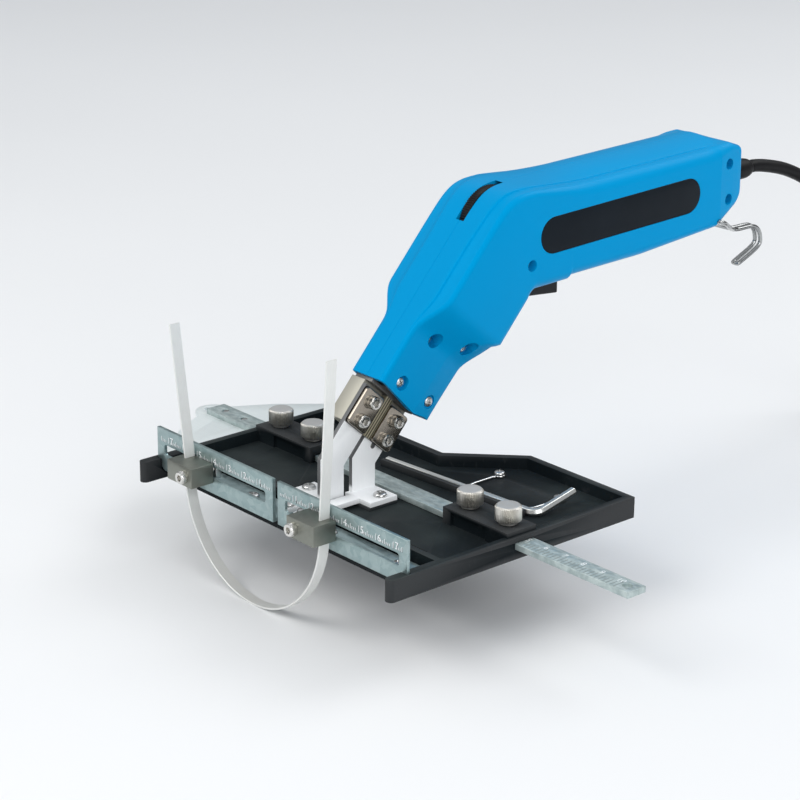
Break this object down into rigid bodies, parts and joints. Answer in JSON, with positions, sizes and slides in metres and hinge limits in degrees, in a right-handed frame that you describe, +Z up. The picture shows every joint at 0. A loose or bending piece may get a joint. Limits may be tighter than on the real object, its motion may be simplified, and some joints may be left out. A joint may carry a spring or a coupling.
{
  "type": "electric hot knife",
  "caption": "Electric hot knife with a bent blue pistol body, fixed to a grooving sled with a U-shaped ribbon blade, slotted scale brackets and a sliding edge guide.",
  "frame": {"origin": "on the flat sole of the sled, in the middle of its front edge, under the knife's middle plane", "axes": "+Z up from the sole, +Y back towards the grip and the cord, +X to the right as seen from behind the blade"},
  "size_m": [0.2696, 0.4741, 0.1609],
  "materials": {
    "body_blue": "moulded shells with a soft satin gloss",
    "black_plastic": "moulded black plastic",
    "cord_black": "flexible black cord jacket",
    "galvanised": "galvanised sheet",
    "satin_alu": "satin metal strip",
    "nickel": "dull nickel",
    "bright_steel": "bright plated steel",
    "ribbon_steel": "thin resistance strip",
    "terminal_cream": "warm grey plated terminal block",
    "insulator": "pale insulating board",
    "copper": "copper bar and wire",
    "core_steel": "stacked core sheets",
    "board_green": "circuit board",
    "label_dark": "bare dark label"
  },
  "bodies": {
    "frame": {"sled_tray": "black_plastic", "bracket_left": "galvanised", "bracket_right": "galvanised", "bracket_screws": "bright_steel", "hex_key": "nickel", "key_clip": "bright_steel", "key_clip_screws": "bright_steel", "front_conductor": "satin_alu", "rear_conductor": "satin_alu", "conductor_screws": "bright_steel", "front_terminal": "terminal_cream", "rear_terminal": "terminal_cream", "front_clamp_plate": "nickel", "rear_clamp_plate": "nickel", "terminal_screws": "bright_steel", "nose_insulator": "insulator", "front_busbar": "copper", "rear_busbar": "copper", "transformer_core": "core_steel", "transformer_coil": "copper", "body_shell_right": "body_blue", "body_shell_left": "body_blue", "shell_screws": "bright_steel", "label_plate": "label_dark", "regulator_pot": "black_plastic", "circuit_board": "board_green", "trigger_switch": "black_plastic", "trigger_spring": "bright_steel", "strain_relief": "cord_black", "cord_lead": "cord_black", "cord_coil": "cord_black", "coil_tie": "black_plastic", "plug_body": "black_plastic", "plug_pins": "bright_steel"},
    "trigger": {"trigger": "black_plastic"},
    "regulator": {"regulator_wheel": "black_plastic"},
    "hook": {"hanging_hook": "bright_steel"},
    "blade_set": {"clamp_block_left": "nickel", "clamp_block_right": "nickel", "clamp_screws": "bright_steel", "clamp_nuts": "bright_steel", "ribbon_blade": "ribbon_steel"},
    "guide": {"guide_bar": "galvanised", "wing_plate": "galvanised", "wing_rivets": "bright_steel"},
    "thumb_1": {"thumb_screw_1": "bright_steel"},
    "thumb_2": {"thumb_screw_2": "bright_steel"},
    "thumb_3": {"thumb_screw_3": "bright_steel"},
    "thumb_4": {"thumb_screw_4": "bright_steel"}
  },
  "joints": [
    {"name": "trigger_press", "type": "slide", "parent": "frame", "child": "trigger", "axis": [0, 0, 1], "range_m": [0, 0.0045], "stiffness_N_per_m": 500, "springref_m": -0.002, "deforming": ["trigger_spring"]},
    {"name": "regulator_turn", "type": "hinge", "parent": "frame", "child": "regulator", "pos_m": [0, 0.11015, 0.10829], "axis": [1, 0, 0], "range_deg": [-135, 135]},
    {"name": "hook_swing", "type": "hinge", "parent": "frame", "child": "hook", "pos_m": [0, 0.23159, 0.09133], "axis": [1, 0, 0], "range_deg": [-80, 3]},
    {"name": "blade_shift", "type": "slide", "parent": "frame", "child": "blade_set", "axis": [1, 0, 0], "range_m": [-0.015, 0.035]},
    {"name": "guide_shift", "type": "slide", "parent": "frame", "child": "guide", "axis": [1, 0, 0], "range_m": [-0.055, 0.0015]},
    {"name": "thumb_1_turn", "type": "hinge", "parent": "frame", "child": "thumb_1", "pos_m": [-0.0714, 0.0562, 0.015], "axis": [0, 0, 1], "range_deg": [0, 540]},
    {"name": "thumb_2_turn", "type": "hinge", "parent": "frame", "child": "thumb_2", "pos_m": [-0.0494, 0.0562, 0.015], "axis": [0, 0, 1], "range_deg": [0, 540]},
    {"name": "thumb_3_turn", "type": "hinge", "parent": "frame", "child": "thumb_3", "pos_m": [0.0494, 0.0562, 0.015], "axis": [0, 0, 1], "range_deg": [0, 540]},
    {"name": "thumb_4_turn", "type": "hinge", "parent": "frame", "child": "thumb_4", "pos_m": [0.0714, 0.0562, 0.015], "axis": [0, 0, 1], "range_deg": [0, 540]}
  ]
}
